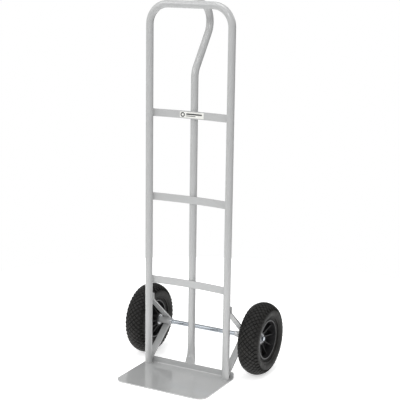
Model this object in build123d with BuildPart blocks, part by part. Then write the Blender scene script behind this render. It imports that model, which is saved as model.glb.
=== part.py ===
from build123d import *
import os
from math import asin, cos, degrees, pi, radians, sin, tan

# Hand truck: a tube hoop with three flat crossbars and a toe plate, a centre tube that rises behind
# the crossbars and loops over as the handle, and two wheels that turn on one fixed axle.
# X is across the truck, Y runs from the toe (-) to the wheels (+), Z is up, and the floor is Z = 0.
# All sizes are in millimetres.

# Overall sizes
frame_height = 1300
tube_spacing = 312
toe_reach = 201
axle_setback = 126
tyre_radius = 129
tyre_width = 79

# Tubes
tube_diameter = 25.4
tube_wall = 1.6
hoop_bend_radius = 70

# Crossbars: flat bars on edge, bowed towards the wheels
crossbar_height = 26
crossbar_thickness = 4
crossbar_bow = 12
crossbar_setback = 8.8
lower_crossbar_level = 320
middle_crossbar_level = 622
upper_crossbar_drop = 383

# Handle tube
handle_kick_drop = 237
handle_lean = 36
handle_kick_radius = 60
handle_top_radius = 62
handle_end_inset = 3
handle_taper_top = 98
handle_crease_level = 57
handle_crease_width = 31
handle_crease_depth = 14
handle_foot_bottom = 8

# Toe plate
plate_side_margin = 7.8
plate_thickness = 4
plate_corner_radius = 35
plate_bend_radius = 4
upstand_height = 25
upstand_corner_radius = 8
upstand_clearance = 8.3

# Axle, sleeves and collars
axle_diameter = 16
axle_end_chamfer = 1
axle_end_overhang = 4
sleeve_diameter = 24
sleeve_inboard = 16
sleeve_outboard = 25
sleeve_clearance = 0.15
sleeve_chamfer = 1
collar_diameter = 22
collar_length = 10

# Axle brackets: one flat strip on each side, bent round the sleeve
strip_width = 25
strip_thickness = 4
strip_tab_length = 23
strip_tab_rise = 114
strip_tab_bend_radius = 8
strip_foot_level = 17.6

# Washers and split pins
washer_diameter = 24
washer_thickness = 2
washer_clearance = 0.25
split_pin_diameter = 3.6
split_pin_clearance = 0.1
split_pin_eye_radius = 3
split_pin_leg_length = 8
split_pin_leg_spread = 35

# Wheel bearings
running_clearance = 0.05
side_clearance = 0.4
bearing_ring_wall = 2.7
bearing_ring_gap = 4
bearing_width = 11
bearing_shoulder = 2
ball_diameter = 6
ball_clearance = 0.05
ball_count = 8
cage_thickness = 1.4
cage_width = 4
spacer_wall = 2.5

# Rims
hub_overhang = 5.4
hub_outboard_reach = 4
hub_wall = 5
rim_opening_radius = 65.6
rim_wall = 3
rim_inset = 10.8
rim_lip_width = 4
rim_lip_radius = 70.6
rim_lip_rounding = 1.8
web_thickness = 5
web_offset = -5
rib_count = 10
rib_thickness = 3
rib_hub_setback = 2
rib_barrel_setback = 11

# Tyres
bead_clearance = 0.3
bead_height = 7.4
shoulder_drop = 7

# Foot rivet and label
rivet_diameter = 5
rivet_head_diameter = 8
rivet_head_height = 2.4
rivet_length = 6
rivet_level = 48
rivet_offset = -4
label_width = 92
label_height = 20
label_thickness = 0.5

# Places that follow from the sizes
tube_radius = tube_diameter / 2
frame_y = (toe_reach - axle_setback - tyre_radius) / 2
toe_front_y = frame_y - toe_reach
hoop_top_level = frame_height - tube_radius
bow_foot_level = hoop_top_level - hoop_bend_radius
side_tube_x = tube_spacing / 2
bow_bend_x = side_tube_x - hoop_bend_radius
upper_crossbar_level = frame_height - upper_crossbar_drop
crossbar_end_y = frame_y + crossbar_setback
handle_y = crossbar_end_y + crossbar_bow + crossbar_thickness / 2 + tube_radius
handle_kick_level = frame_height - handle_kick_drop
plate_width = tube_spacing + tube_diameter + 2 * plate_side_margin
upstand_rear_y = frame_y + tube_radius + upstand_clearance + plate_thickness
foot_thickness = 2 * tube_wall
foot_width = pi * (tube_diameter - tube_wall) / 2 + tube_wall
foot_y = upstand_rear_y + foot_thickness / 2

axle_y = frame_y + axle_setback
axle_level = tyre_radius
axle_radius = axle_diameter / 2
axle_axis = Axis((0, axle_y, axle_level), (1, 0, 0))
sleeve_radius = sleeve_diameter / 2
sleeve_inner_x = side_tube_x - sleeve_inboard
sleeve_outer_x = side_tube_x + sleeve_outboard
hub_inner_x = sleeve_outer_x + washer_thickness + side_clearance
hub_inboard_reach = tyre_width / 2 + hub_overhang
wheel_x = hub_inner_x + hub_inboard_reach
outer_washer_x = wheel_x + hub_outboard_reach + side_clearance
split_pin_x = outer_washer_x + washer_thickness + split_pin_diameter / 2
axle_end_x = split_pin_x + split_pin_diameter / 2 + axle_end_overhang

bearing_bore_radius = axle_radius + running_clearance
ball_pitch_radius = bearing_bore_radius + bearing_ring_wall + bearing_ring_gap / 2
bearing_radius = bearing_bore_radius + 2 * bearing_ring_wall + bearing_ring_gap
hub_radius = bearing_radius + hub_wall
rim_half_width = tyre_width / 2 - rim_inset
tyre_bore_radius = rim_opening_radius + rim_wall
bead_half_width = rim_half_width - rim_lip_width - bead_clearance

os.makedirs("parts", exist_ok=True)


def wheel_plane(side):
    """Section plane of the wheel on one side: local X points outboard, local Y is the radius."""
    return Plane(origin=(side * wheel_x, axle_y, axle_level), x_dir=(side, 0, 0), z_dir=(0, -side, 0))


def ring_section(start, end, inner, outer, mode=Mode.ADD):
    """Rectangle in a wheel section, from start to end along the axle and from inner to outer radius."""
    with Locations(((start + end) / 2, (inner + outer) / 2)):
        Rectangle(end - start, outer - inner, mode=mode)


def bowed_band(setback, thickness):
    """Plan outline of a bowed band across the frame, its middle line set back from the side tubes."""
    middle = frame_y + setback
    with BuildSketch(mode=Mode.PRIVATE) as band:
        with BuildLine():
            rear = ThreePointArc(
                (-side_tube_x, middle + thickness / 2),
                (0, middle + thickness / 2 + crossbar_bow),
                (side_tube_x, middle + thickness / 2),
            )
            front = ThreePointArc(
                (-side_tube_x, middle - thickness / 2),
                (0, middle - thickness / 2 + crossbar_bow),
                (side_tube_x, middle - thickness / 2),
            )
            Line(rear @ 0, front @ 0)
            Line(rear @ 1, front @ 1)
        make_face()
    return band.sketch


def build_side_tube(name, side):
    """Straight tube from the toe plate up to the start of the top bow."""
    with BuildPart() as side_tube:
        with BuildSketch(Plane((side * side_tube_x, frame_y, plate_thickness))):
            Circle(tube_radius)
            Circle(tube_radius - tube_wall, mode=Mode.SUBTRACT)
        extrude(amount=bow_foot_level - plate_thickness)
    side_tube.part.label = name
    export_step(side_tube.part, f"parts/{name}.step")


# Top bow: the tube goes on from one side tube, round a bend, across the top and down to the other
with BuildPart() as top_bow:
    with BuildLine(Plane.XZ.offset(-frame_y)):
        CenterArc((-bow_bend_x, bow_foot_level), hoop_bend_radius, 180, -90)
        Line((-bow_bend_x, hoop_top_level), (bow_bend_x, hoop_top_level))
        CenterArc((bow_bend_x, bow_foot_level), hoop_bend_radius, 90, -90)
    with BuildSketch(Plane((-side_tube_x, frame_y, bow_foot_level))):
        Circle(tube_radius)
        Circle(tube_radius - tube_wall, mode=Mode.SUBTRACT)
    sweep()
top_bow.part.label = "top_bow"
export_step(top_bow.part, "parts/top_bow.step")


crossbar_plan = bowed_band(crossbar_setback, crossbar_thickness)
label_plan = bowed_band(crossbar_setback - (crossbar_thickness + label_thickness) / 2, label_thickness)


def build_crossbar(name, level):
    """Flat bar on edge between the side tubes, its ends coped to them."""
    base = Plane.XY.offset(level - crossbar_height / 2)
    with BuildPart() as crossbar:
        with BuildSketch(base):
            add(crossbar_plan)
        extrude(amount=crossbar_height)
        with BuildSketch(base):
            with Locations((-side_tube_x, frame_y), (side_tube_x, frame_y)):
                Circle(tube_radius)
        extrude(amount=crossbar_height, mode=Mode.SUBTRACT)
    crossbar.part.label = name
    export_step(crossbar.part, f"parts/{name}.step")


build_crossbar("lower_crossbar", lower_crossbar_level)
build_crossbar("middle_crossbar", middle_crossbar_level)
build_crossbar("upper_crossbar", upper_crossbar_level)

# Label plate: a thin plate that follows the front face of the upper crossbar
with BuildPart() as label_plate:
    with BuildSketch(Plane.XY.offset(upper_crossbar_level - label_height / 2)):
        add(label_plan)
        with Locations((0, frame_y)):
            Rectangle(label_width, tube_spacing, mode=Mode.INTERSECT)
    extrude(amount=label_height)
label_plate.part.label = "label_plate"
export_step(label_plate.part, "parts/label_plate.step")

# Toe plate: the flat blade with its rear edge bent up as a low upstand behind the side tubes
with BuildPart() as toe_plate:
    with BuildSketch(Plane.YZ.offset(-plate_width / 2)):
        with BuildLine():
            Polyline(
                (toe_front_y, 0),
                (upstand_rear_y, 0),
                (upstand_rear_y, upstand_height),
                (upstand_rear_y - plate_thickness, upstand_height),
                (upstand_rear_y - plate_thickness, plate_thickness),
                (toe_front_y, plate_thickness),
                close=True,
            )
        make_face()
    extrude(amount=plate_width)
    inner_heel = toe_plate.edges().filter_by(Axis.X).group_by(Axis.Z)[1].sort_by(Axis.Y)[-1]
    fillet(inner_heel, plate_bend_radius)
    outer_heel = toe_plate.edges().filter_by(Axis.X).group_by(Axis.Z)[0].sort_by(Axis.Y)[-1]
    fillet(outer_heel, plate_bend_radius + plate_thickness)
    fillet(toe_plate.edges().filter_by(Axis.Z).group_by(Axis.Y)[0], plate_corner_radius)
    fillet(toe_plate.edges().filter_by(Axis.Y).group_by(Axis.Z)[-1], upstand_corner_radius)
toe_plate.part.label = "toe_plate"
export_step(toe_plate.part, "parts/toe_plate.step")

# Handle tube: up behind the crossbars, back at a lean, then over and forward to the top of the hoop
lean_run = (hoop_top_level - handle_kick_level) * tan(radians(handle_lean))
foot_front = Vector(0, upstand_rear_y, upstand_height)
crease_front = Vector(0, handle_y - handle_crease_depth / 2, handle_crease_level)
rivet_spot = foot_front + (crease_front - foot_front) * (
    (rivet_level - upstand_height) / (handle_crease_level - upstand_height)
) + Vector(rivet_offset, 0, 0)
rivet_plane = Plane(rivet_spot, x_dir=(1, 0, 0), z_dir=(crease_front - foot_front).rotate(Axis.X, 90))

with BuildPart() as handle_tube:
    with BuildLine(Plane.YZ) as handle_route:
        FilletPolyline(
            (handle_y, handle_taper_top),
            (handle_y, handle_kick_level),
            (handle_y + lean_run, hoop_top_level),
            (frame_y + handle_end_inset, hoop_top_level),
            radius=[handle_kick_radius, handle_top_radius],
        )
    with BuildSketch(Plane((0, handle_y, handle_taper_top))):
        Circle(tube_radius)
        Circle(tube_radius - tube_wall, mode=Mode.SUBTRACT)
    sweep()
    with BuildSketch(Plane.YZ.offset(-tube_diameter)):
        with Locations((frame_y, hoop_top_level)):
            Circle(tube_radius)
    extrude(amount=2 * tube_diameter, mode=Mode.SUBTRACT)
    with BuildSketch(Plane((0, handle_y, handle_taper_top))):
        RectangleRounded(tube_diameter, tube_diameter, tube_radius - 0.01)
    with BuildSketch(Plane((0, handle_y, handle_crease_level))):
        RectangleRounded(handle_crease_width, handle_crease_depth, handle_crease_depth / 2 - 0.1)
    loft(ruled=True)
    with BuildSketch(Plane((0, handle_y, handle_crease_level))):
        RectangleRounded(handle_crease_width, handle_crease_depth, handle_crease_depth / 2 - 0.1)
    with BuildSketch(Plane((0, foot_y, upstand_height))):
        RectangleRounded(foot_width, foot_thickness, foot_thickness / 2 - 0.1)
    loft(ruled=True)
    with BuildSketch(Plane((0, foot_y, upstand_height))):
        RectangleRounded(foot_width, foot_thickness, foot_thickness / 2 - 0.1)
    extrude(amount=handle_foot_bottom - upstand_height)
    with BuildSketch(rivet_plane):
        Circle(rivet_diameter / 2)
    extrude(amount=-rivet_length, mode=Mode.SUBTRACT)
handle_tube.part.label = "handle_tube"
export_step(handle_tube.part, "parts/handle_tube.step")

# Foot rivet: a round-headed rivet in the front of the flattened foot
with BuildPart() as foot_rivet:
    with BuildSketch(rivet_plane):
        Circle(rivet_diameter / 2)
    extrude(amount=-rivet_length)
    with BuildSketch(rivet_plane):
        Circle(rivet_head_diameter / 2)
    extrude(amount=rivet_head_height)
    fillet(foot_rivet.faces().sort_by(Axis.Y)[0].edges(), rivet_head_height - 0.4)
foot_rivet.part.label = "foot_rivet"
export_step(foot_rivet.part, "parts/foot_rivet.step")

# Axle: a solid rod with a cross hole for a split pin at each end
with BuildPart() as axle:
    with BuildSketch(Plane.YZ.offset(-axle_end_x)):
        with Locations((axle_y, axle_level)):
            Circle(axle_radius)
    extrude(amount=2 * axle_end_x)
    chamfer(axle.edges().filter_by(GeomType.CIRCLE), axle_end_chamfer)
    with BuildSketch(Plane.XY.offset(axle_level - axle_diameter)):
        with Locations((-split_pin_x, axle_y), (split_pin_x, axle_y)):
            Circle(split_pin_diameter / 2 + split_pin_clearance)
    extrude(amount=2 * axle_diameter, mode=Mode.SUBTRACT)
axle.part.label = "axle"
export_step(axle.part, "parts/axle.step")


def build_axle_ring(name, side, start, length, radius, bore, edge_break=0.4):
    """Round sleeve, collar or washer on the axle, from start and outboard by length."""
    with BuildPart() as ring:
        with BuildSketch(Plane.YZ.offset(side * start)):
            with Locations((axle_y, axle_level)):
                Circle(radius)
                Circle(bore, mode=Mode.SUBTRACT)
        extrude(amount=side * length)
        rims = ring.edges().filter_by(GeomType.CIRCLE).sort_by(SortBy.RADIUS)[-2:]
        chamfer(rims, edge_break)
    ring.part.label = name
    export_step(ring.part, f"parts/{name}.step")


# Axle brackets: the strip runs down from its tab, round the back of the sleeve and in to the tube's foot
sleeve_centre = Vector(0, axle_y, axle_level)
wrap_radius = sleeve_radius + strip_thickness / 2
tab_bend = Vector(0, frame_y + tube_radius + strip_thickness / 2, axle_level + strip_tab_rise)
tab_top = tab_bend + Vector(0, 0, strip_tab_length)
strip_foot = Vector(0, frame_y, strip_foot_level)


def tangent_heading(start, turn):
    """Direction from start along the line that just touches the wrap circle, on the side of turn."""
    reach = sleeve_centre - start
    return reach.normalized().rotate(Axis.X, turn * degrees(asin(wrap_radius / reach.length)))


upper_heading = tangent_heading(tab_bend, 1)
lower_heading = tangent_heading(strip_foot, -1)
half_angle = radians(upper_heading.get_angle(lower_heading) / 2)
strip_apex = sleeve_centre + (upper_heading + lower_heading).normalized() * (wrap_radius / sin(half_angle))


def build_bracket(name, side):
    """Flat strip bent into a V that carries one axle sleeve."""
    across = Vector(side * side_tube_x, 0, 0)
    with BuildPart() as bracket:
        with BuildLine():
            FilletPolyline(
                *[point + across for point in (tab_top, tab_bend, strip_apex, strip_foot)],
                radius=[strip_tab_bend_radius, wrap_radius],
            )
        with BuildSketch(Plane(tab_top + across)):
            Rectangle(strip_width, strip_thickness)
        sweep()
        with BuildSketch(Plane.XY):
            with Locations((side * side_tube_x, frame_y)):
                Circle(tube_radius)
        extrude(amount=axle_level, mode=Mode.SUBTRACT)
    bracket.part.label = name
    export_step(bracket.part, f"parts/{name}.step")


def build_split_pin(name, side):
    """Split pin through the axle: eye on top, two legs spread below."""
    pin_plane = Plane(origin=(side * split_pin_x, axle_y, axle_level), x_dir=(0, 1, 0), z_dir=(1, 0, 0))
    eye_level = axle_radius + split_pin_eye_radius + split_pin_diameter / 4
    leg_radius = split_pin_diameter / 4
    leg_turn = Vector(0, -axle_radius - leg_radius)
    with BuildPart() as split_pin:
        with BuildSketch(Plane((side * split_pin_x, axle_y, axle_level - axle_radius - leg_radius))):
            Circle(split_pin_diameter / 2)
        extrude(amount=2 * axle_radius + 2 * leg_radius)
        with BuildSketch(pin_plane):
            with Locations((0, eye_level)):
                Circle(split_pin_eye_radius + leg_radius)
                Circle(split_pin_eye_radius - leg_radius, mode=Mode.SUBTRACT)
        extrude(amount=leg_radius, both=True)
        for spread in (-1, 1):
            heading = Vector(0, -1).rotate(Axis.Z, spread * split_pin_leg_spread)
            leg_start = leg_turn + Vector(spread * leg_radius, 0)
            with BuildSketch(pin_plane):
                with BuildLine():
                    across = heading.rotate(Axis.Z, 90) * leg_radius
                    leg_end = leg_start + heading * split_pin_leg_length
                    Polyline(
                        leg_start + across,
                        leg_end + across,
                        leg_end - across,
                        leg_start - across,
                        close=True,
                    )
                make_face()
            extrude(amount=leg_radius, both=True)
    split_pin.part.label = name
    export_step(split_pin.part, f"parts/{name}.step")


def build_tyre(name, side):
    """Solid tyre: a straight bead between the rim lips, bulging sidewalls and a crowned tread."""
    bead_top = tyre_bore_radius + bead_height
    shoulder_radius = tyre_radius - shoulder_drop
    widest_radius = (bead_top + shoulder_radius) / 2
    with BuildPart() as tyre:
        with BuildSketch(wheel_plane(side)):
            with BuildLine():
                Line((0, tyre_bore_radius), (bead_half_width, tyre_bore_radius))
                Line((bead_half_width, tyre_bore_radius), (bead_half_width, bead_top))
                ThreePointArc(
                    (bead_half_width, bead_top),
                    (tyre_width / 2, widest_radius),
                    (bead_half_width, shoulder_radius),
                )
                ThreePointArc(
                    (bead_half_width, shoulder_radius),
                    (0, tyre_radius),
                    (-bead_half_width, shoulder_radius),
                )
                ThreePointArc(
                    (-bead_half_width, shoulder_radius),
                    (-tyre_width / 2, widest_radius),
                    (-bead_half_width, bead_top),
                )
                Line((-bead_half_width, bead_top), (-bead_half_width, tyre_bore_radius))
                Line((-bead_half_width, tyre_bore_radius), (0, tyre_bore_radius))
            make_face()
        revolve(axis=axle_axis)
    tyre.part.label = name
    export_step(tyre.part, f"parts/{name}.step")


def build_rim(name, side):
    """Moulded rim: hub, web, barrel with a lip at each edge, and ribs on both sides of the web."""
    inboard_rib_hub = -hub_inboard_reach + rib_hub_setback
    outboard_rib_hub = hub_outboard_reach - rib_hub_setback
    rib_barrel = rim_half_width - rib_barrel_setback
    with BuildPart() as rim:
        with BuildSketch(wheel_plane(side)) as rim_section:
            ring_section(-rim_half_width, rim_half_width, rim_opening_radius, tyre_bore_radius)
            ring_section(rim_half_width - rim_lip_width, rim_half_width, rim_opening_radius, rim_lip_radius)
            ring_section(-rim_half_width, rim_lip_width - rim_half_width, rim_opening_radius, rim_lip_radius)
            fillet(rim_section.vertices().group_by(Axis.Y)[-1], rim_lip_rounding)
            ring_section(
                -hub_inboard_reach,
                hub_outboard_reach,
                bearing_radius - bearing_shoulder,
                hub_radius,
            )
            ring_section(
                web_offset - web_thickness / 2,
                web_offset + web_thickness / 2,
                bearing_radius,
                tyre_bore_radius,
            )
        revolve(axis=axle_axis)
        for number in range(rib_count):
            turn = radians(360 * number / rib_count)
            outward = Vector(0, cos(turn), sin(turn))
            across = Vector(side, 0, 0)
            with BuildSketch(Plane(wheel_plane(side).origin, x_dir=across, z_dir=across.cross(outward))):
                with BuildLine():
                    Polyline(
                        (inboard_rib_hub, hub_radius - hub_wall / 2),
                        (-rib_barrel, rim_opening_radius + rim_wall / 2),
                        (rib_barrel, rim_opening_radius + rim_wall / 2),
                        (outboard_rib_hub, hub_radius - hub_wall / 2),
                        close=True,
                    )
                make_face()
            extrude(amount=rib_thickness / 2, both=True)
        with BuildSketch(wheel_plane(side)):
            ring_section(-hub_inboard_reach, bearing_width - hub_inboard_reach, 0, bearing_radius)
            ring_section(hub_outboard_reach - bearing_width, hub_outboard_reach, 0, bearing_radius)
        revolve(axis=axle_axis, mode=Mode.SUBTRACT)
    rim.part.label = name
    export_step(rim.part, f"parts/{name}.step")


def build_bearing(name, side, start):
    """Ball bearing in three pieces: outer ring, inner ring, and the balls in their cage."""
    middle = start + bearing_width / 2
    groove_radius = ball_diameter / 2 + ball_clearance
    inner_ring_radius = bearing_bore_radius + bearing_ring_wall
    rings = {
        "inner_ring": (bearing_bore_radius, inner_ring_radius),
        "outer_ring": (inner_ring_radius + bearing_ring_gap, bearing_radius),
    }
    for piece, (inner, outer) in rings.items():
        with BuildPart() as ring:
            with BuildSketch(wheel_plane(side)):
                ring_section(start, start + bearing_width, inner, outer)
                with Locations((middle, ball_pitch_radius)):
                    Circle(groove_radius, mode=Mode.SUBTRACT)
            revolve(axis=axle_axis)
        ring.part.label = f"{name}_{piece}"
        export_step(ring.part, f"parts/{name}_{piece}.step")
    cage_plane = Plane((side * (wheel_x + middle), axle_y, axle_level), x_dir=(0, 1, 0), z_dir=(1, 0, 0))
    with BuildPart(cage_plane) as balls:
        with BuildSketch(cage_plane):
            Circle(ball_pitch_radius + cage_thickness / 2)
            Circle(ball_pitch_radius - cage_thickness / 2, mode=Mode.SUBTRACT)
        extrude(amount=cage_width / 2, both=True)
        with PolarLocations(ball_pitch_radius, ball_count):
            Sphere(ball_diameter / 2)
    balls.part.label = f"{name}_balls"
    export_step(balls.part, f"parts/{name}_balls.step")


for word, side in (("left", -1), ("right", 1)):
    build_side_tube(f"{word}_side_tube", side)
    build_bracket(f"{word}_axle_bracket", side)
    build_axle_ring(
        f"{word}_axle_sleeve",
        side,
        sleeve_inner_x,
        sleeve_inboard + sleeve_outboard,
        sleeve_radius,
        axle_radius + sleeve_clearance,
        sleeve_chamfer,
    )
    build_axle_ring(
        f"{word}_axle_collar",
        side,
        sleeve_inner_x - collar_length,
        collar_length,
        collar_diameter / 2,
        axle_radius,
    )
    for place, washer_x in (("inner", sleeve_outer_x), ("outer", outer_washer_x)):
        build_axle_ring(
            f"{word}_{place}_washer",
            side,
            washer_x,
            washer_thickness,
            washer_diameter / 2,
            axle_radius + washer_clearance,
        )
    build_split_pin(f"{word}_split_pin", side)
    build_tyre(f"{word}_tyre", side)
    build_rim(f"{word}_rim", side)
    build_bearing(f"{word}_inboard_bearing", side, -hub_inboard_reach)
    build_bearing(f"{word}_outboard_bearing", side, hub_outboard_reach - bearing_width)
    build_axle_ring(
        f"{word}_bearing_spacer",
        side,
        hub_inner_x + bearing_width,
        hub_inboard_reach + hub_outboard_reach - 2 * bearing_width,
        bearing_bore_radius + spacer_wall,
        bearing_bore_radius,
    )
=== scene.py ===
import math

import bmesh
import bpy
from mathutils import Matrix, Vector


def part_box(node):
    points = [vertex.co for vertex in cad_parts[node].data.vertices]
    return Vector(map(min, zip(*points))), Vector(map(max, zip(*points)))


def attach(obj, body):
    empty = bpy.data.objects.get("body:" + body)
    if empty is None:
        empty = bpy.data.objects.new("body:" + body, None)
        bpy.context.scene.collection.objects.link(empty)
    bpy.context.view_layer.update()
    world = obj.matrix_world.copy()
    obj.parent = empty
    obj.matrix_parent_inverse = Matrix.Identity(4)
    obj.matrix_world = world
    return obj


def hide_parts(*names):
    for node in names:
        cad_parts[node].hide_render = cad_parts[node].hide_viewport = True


bl_info = {
    "name": "Hand truck finish",
    "version": (1, 0, 0),
    "blender": (4, 5, 0),
    "location": "View3D > Sidebar > Hand truck",
    "description": "Treaded tyres, weld beads, split pins, coat, plating, label and studio for a hand truck",
    "category": "Object",
}

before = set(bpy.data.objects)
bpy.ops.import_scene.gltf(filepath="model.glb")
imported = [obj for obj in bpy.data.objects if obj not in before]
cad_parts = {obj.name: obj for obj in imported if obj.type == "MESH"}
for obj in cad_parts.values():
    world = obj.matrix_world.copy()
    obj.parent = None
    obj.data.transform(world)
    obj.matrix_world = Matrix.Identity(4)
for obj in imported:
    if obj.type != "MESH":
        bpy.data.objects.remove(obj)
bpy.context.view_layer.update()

SIDES = (("left", -1), ("right", 1))
MM = 0.001

# Colours
ZINC_COLOUR = (0.55, 0.56, 0.575)
ROD_COLOUR = (0.41, 0.44, 0.475)
BEARING_COLOUR = (0.52, 0.53, 0.55)
RIM_COLOUR = (0.017, 0.017, 0.018)
DUST_ON_COAT = (0.40, 0.385, 0.355)
DUST_ON_RUBBER = (0.16, 0.15, 0.135)
LABEL_DARKER = (0.74, 0.74, 0.70)
LABEL_LIGHTER = (0.79, 0.79, 0.755)
INK_COLOUR = (0.035, 0.037, 0.04)

# Weight and roughness of a coat's clear top layer, and how much dust lies on it
TUBE_TOP_LAYER = (0.55, 0.12, 0.10)
PLATE_TOP_LAYER = (1.0, 0.03, 0.04)
PLATE_ROUGHNESS = 0.22

# Widths of the painted rings round the wheel: painted shade in the groove at the tyre's bead, a painted
# highlight on the ridge beyond it, and a painted highlight on the rim's lip
GROOVE_SHADE_WIDTH = 4.5 * MM
RIDGE_HIGHLIGHT_WIDTH = 2.5 * MM
LIP_HIGHLIGHT_INWARD = 4.6 * MM
LIP_HIGHLIGHT_OUTWARD = 1 * MM

# Thickness of the flat steel
CROSSBAR_THICKNESS = 4 * MM
STRIP_THICKNESS = 4 * MM
STRIP_SLANT = math.radians(39)

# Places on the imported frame, in metres
BOW_LOW, BOW_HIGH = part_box("top_bow")
TUBE_RADIUS = (BOW_HIGH.y - BOW_LOW.y) / 2
FRAME_Y = (BOW_HIGH.y + BOW_LOW.y) / 2
SIDE_X = BOW_HIGH.x - TUBE_RADIUS
BOW_LEVEL = BOW_HIGH.z - TUBE_RADIUS
PLATE_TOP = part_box("right_side_tube")[0].z
TYRE_LOW, TYRE_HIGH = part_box("right_tyre")
WHEEL_X = (TYRE_LOW.x + TYRE_HIGH.x) / 2
AXLE_Y = (TYRE_LOW.y + TYRE_HIGH.y) / 2
AXLE_Z = (TYRE_LOW.z + TYRE_HIGH.z) / 2
TYRE_HALF = (TYRE_HIGH.x - TYRE_LOW.x) / 2
TYRE_RADIUS = (TYRE_HIGH.z - TYRE_LOW.z) / 2
RIM_LOW, RIM_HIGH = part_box("right_rim")
RIM_LIP_RADIUS = (RIM_HIGH.z - RIM_LOW.z) / 2
SLEEVE_LOW, SLEEVE_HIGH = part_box("right_axle_sleeve")
SLEEVE_RADIUS = (SLEEVE_HIGH.z - SLEEVE_LOW.z) / 2
BRACKET_LOW, BRACKET_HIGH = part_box("right_axle_bracket")
AXLE_LOW, AXLE_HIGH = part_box("axle")
AXLE_RADIUS = (AXLE_HIGH.z - AXLE_LOW.z) / 2
PIN_LOW, PIN_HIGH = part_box("right_split_pin")
LABEL_LOW, LABEL_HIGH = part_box("label_plate")
UPPER_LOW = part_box("upper_crossbar")[0]
HANDLE_LOW, HANDLE_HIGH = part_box("handle_tube")
TOE_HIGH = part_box("toe_plate")[1]


def arc_points(centre, radius, start, end, steps):
    """Points on a circle in a flat section, from one angle to another in degrees."""
    turns = [math.radians(start + (end - start) * step / steps) for step in range(steps + 1)]
    return [(centre[0] + radius * math.cos(turn), centre[1] + radius * math.sin(turn)) for turn in turns]


# Settings that a user would change

class HandTruckPaint(bpy.types.PropertyGroup):
    """Powder coat on the tubes, bars, brackets and toe plate."""

    coat_colour: bpy.props.FloatVectorProperty(
        name="Coat colour", description="Colour of the powder coat", subtype="COLOR", size=3, min=0, max=1,
        default=(0.44, 0.445, 0.445))
    coat_roughness: bpy.props.FloatProperty(
        name="Coat roughness", description="Roughness of the coat under its gloss", default=0.34, min=0,
        max=1)
    orange_peel: bpy.props.FloatProperty(
        name="Orange peel", description="Size of the ripples in the coat", default=1.6 * MM, unit="LENGTH")
    dust_height: bpy.props.FloatProperty(
        name="Dust height", description="Height up to which floor dust clings", default=0.16, unit="LENGTH")


class HandTruckTyres(bpy.types.PropertyGroup):
    """Sizes and colour of the treaded tyres."""

    rubber_colour: bpy.props.FloatVectorProperty(
        name="Rubber colour", description="Colour of the tyres", subtype="COLOR", size=3, min=0, max=1,
        default=(0.013, 0.0127, 0.012))
    tread_depth: bpy.props.FloatProperty(
        name="Tread depth", description="Height of the tread blocks", default=3.9 * MM, unit="LENGTH")
    block_pitch: bpy.props.FloatProperty(
        name="Block pitch", description="Distance across the tread between like blocks", default=18 * MM,
        unit="LENGTH")
    groove_width: bpy.props.FloatProperty(
        name="Groove width", description="Width of the grooves between blocks", default=2.7 * MM,
        unit="LENGTH")
    blocks_around: bpy.props.IntProperty(
        name="Blocks around", description="Blocks in one row around the tyre", default=45, min=8)
    shoulder_stretch: bpy.props.FloatProperty(
        name="Shoulder stretch", description="How much longer the outer tips of the shoulder blocks are",
        default=1.7, min=1)


class HandTruckWelds(bpy.types.PropertyGroup):
    """Size of the weld beads."""

    bead_radius: bpy.props.FloatProperty(
        name="Bead radius", description="Radius of a weld bead", default=1.9 * MM, unit="LENGTH")
    ripple_pitch: bpy.props.FloatProperty(
        name="Ripple pitch", description="Distance between two ripples of a bead", default=2.4 * MM,
        unit="LENGTH")


class HandTruckStudio(bpy.types.PropertyGroup):
    """Floor, lights, surroundings and camera."""

    floor_colour: bpy.props.FloatVectorProperty(
        name="Floor colour", description="Colour of the floor", subtype="COLOR", size=3, min=0, max=1,
        default=(0.95, 0.95, 0.95))
    key_power: bpy.props.FloatProperty(
        name="Key power", description="Power of the large soft light in watts", default=36, min=0)
    lamp_power: bpy.props.FloatProperty(
        name="Lamp power", description="Power of the small lamp beside the camera in watts", default=24,
        min=0)
    floor_glow: bpy.props.FloatProperty(
        name="Floor glow", description="Light that the floor sheet gives off", default=0.55, min=0)
    front_strength: bpy.props.FloatProperty(
        name="Front strength", description="Brightness of the surroundings in front and above", default=0.66,
        min=0)
    back_strength: bpy.props.FloatProperty(
        name="Back strength", description="Brightness of the surroundings behind the truck", default=0.12,
        min=0)
    lens: bpy.props.FloatProperty(
        name="Lens", description="Focal length of the camera in millimetres", default=98.63, min=1)


# Shared effects, as node groups

def node_of(tree, kind, location, **values):
    """New node of a kind, with its properties and input values set."""
    node = tree.nodes.new(kind)
    node.location = location
    for key, value in values.items():
        if hasattr(node, key):
            setattr(node, key, value)
        else:
            node.inputs[key.replace("_", " ")].default_value = value
    return node


def new_group(name, inputs, outputs):
    """Empty shader node group with its sockets and its input and output nodes."""
    group = bpy.data.node_groups.new(name, "ShaderNodeTree")
    for label, kind, value in inputs:
        socket = group.interface.new_socket(label, in_out="INPUT", socket_type=kind)
        if value is not None:
            socket.default_value = value
    for label, kind in outputs:
        group.interface.new_socket(label, in_out="OUTPUT", socket_type=kind)
    entry = group.nodes.new("NodeGroupInput")
    entry.location = (-900, 0)
    leave = group.nodes.new("NodeGroupOutput")
    leave.location = (700, 0)
    return group, entry, leave


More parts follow.
